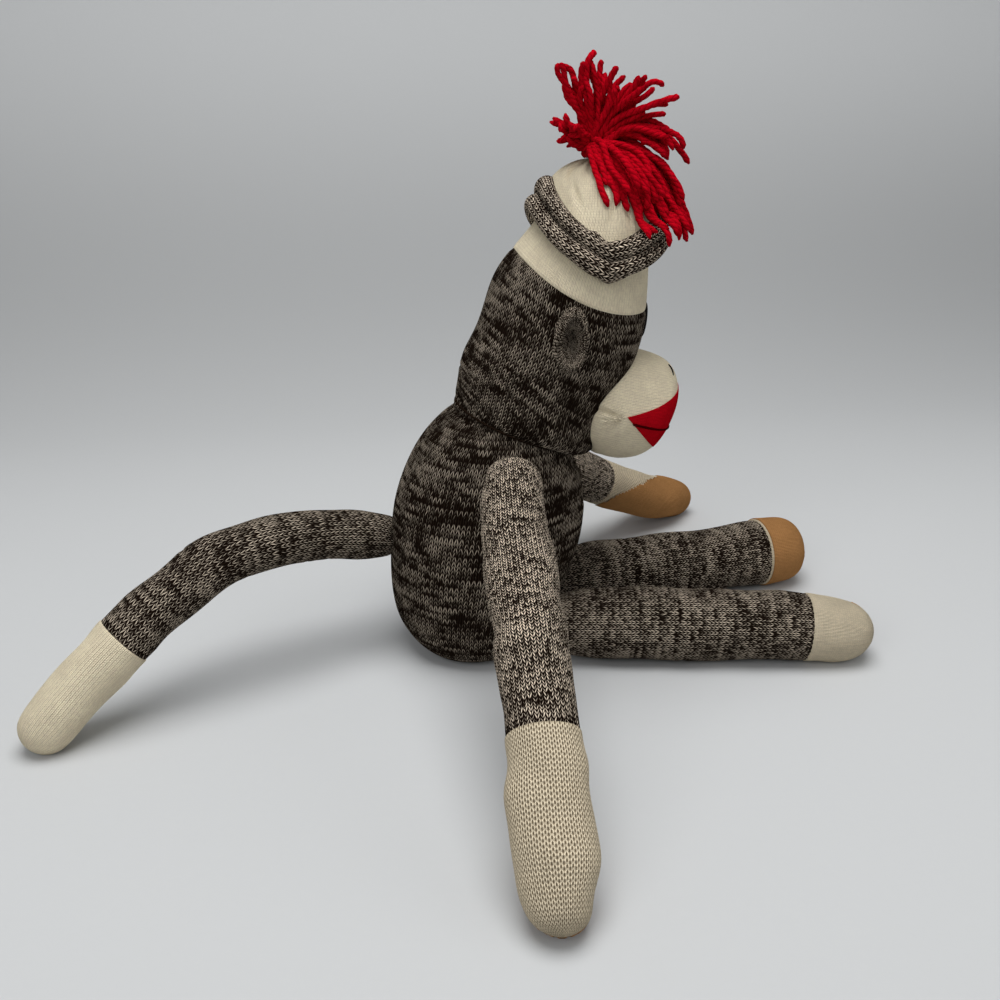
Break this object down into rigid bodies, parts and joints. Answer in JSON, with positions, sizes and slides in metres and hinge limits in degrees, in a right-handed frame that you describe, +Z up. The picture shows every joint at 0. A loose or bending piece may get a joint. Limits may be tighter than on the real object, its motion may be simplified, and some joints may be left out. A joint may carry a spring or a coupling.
{
  "type": "sock monkey doll",
  "caption": "Stuffed knitted monkey doll sitting with its legs forward, with cream ends, a rolled knitted cap and a yarn tuft.",
  "frame": {"origin": "middle of the flat seat, on the surface the doll sits on", "axes": "+Z up, +X the way the doll faces, +Y to its left"},
  "size_m": [0.5017, 0.4651, 0.3518],
  "materials": {
    "marl_knit": "marl knit, dark with pale flecks",
    "cream_knit": "plain knit",
    "tan_knit": "plain knit",
    "red_cloth": "plain knit",
    "red_yarn": "thick spun yarn",
    "black_thread": "twisted thread and felt"
  },
  "bodies": {
    "torso": {"torso": "marl_knit"},
    "neck": {"neck_thread": "black_thread"},
    "head": {"head": "marl_knit", "head_top": "cream_knit", "muzzle": "cream_knit", "mouth": "red_cloth", "mouth_thread": "black_thread", "nostril_right": "black_thread", "nostril_left": "black_thread", "eye_right": "black_thread", "eye_left": "black_thread", "ear_right": "marl_knit", "ear_left": "marl_knit", "cap_crown": "cream_knit", "cap_brim": "marl_knit"},
    "tuft": {"tuft": "red_yarn", "tuft_tie": "red_yarn"},
    "arm_right": {"arm_right": "marl_knit", "hand_right": "cream_knit", "palm_right": "tan_knit"},
    "arm_left": {"arm_left": "marl_knit", "hand_left": "cream_knit", "palm_left": "tan_knit"},
    "leg_right": {"leg_right": "marl_knit", "foot_right": "cream_knit", "sole_right": "tan_knit"},
    "leg_left": {"leg_left": "marl_knit", "foot_left": "cream_knit", "sole_left": "tan_knit"},
    "tail": {"tail": "marl_knit", "tail_tip": "cream_knit"}
  },
  "joints": [
    {"name": "neck_turn", "type": "hinge", "parent": "torso", "child": "neck", "pos_m": [0.017, 0, 0.145], "axis": [0.3746, 0, 0.9272], "range_deg": [-30, 30], "stiffness_Nm_per_rad": 0.134},
    {"name": "neck_nod", "type": "hinge", "parent": "neck", "child": "head", "pos_m": [0.017, 0, 0.145], "axis": [0, 1, 0], "range_deg": [-12, 12], "stiffness_Nm_per_rad": 0.268, "springref_deg": -4.58},
    {"name": "tuft_sway", "type": "hinge", "parent": "head", "child": "tuft", "pos_m": [0.05796, 0, 0.30249], "axis": [1, 0, 0], "range_deg": [-15, 15], "stiffness_Nm_per_rad": 0.0054},
    {"name": "shoulder_right", "type": "hinge", "parent": "torso", "child": "arm_right", "pos_m": [0.006, -0.0625, 0.128], "axis": [-0.9998, 0.0209, 0], "range_deg": [-10, 95]},
    {"name": "shoulder_left", "type": "hinge", "parent": "torso", "child": "arm_left", "pos_m": [0.006, 0.0625, 0.128], "axis": [0.5793, -0.8151, 0], "range_deg": [-3, 95]},
    {"name": "hip_right", "type": "hinge", "parent": "torso", "child": "leg_right", "pos_m": [0.052, -0.031, 0.02166], "axis": [-0.1392, -0.9903, 0], "range_deg": [-90, 40]},
    {"name": "hip_left", "type": "hinge", "parent": "torso", "child": "leg_left", "pos_m": [0.052, 0.031, 0.02166], "axis": [0.1495, -0.9888, 0], "range_deg": [-90, 40]},
    {"name": "tail_swing", "type": "hinge", "parent": "torso", "child": "tail", "pos_m": [-0.068, 0, 0.074], "axis": [0, 0, 1], "range_deg": [-70, 20]}
  ]
}
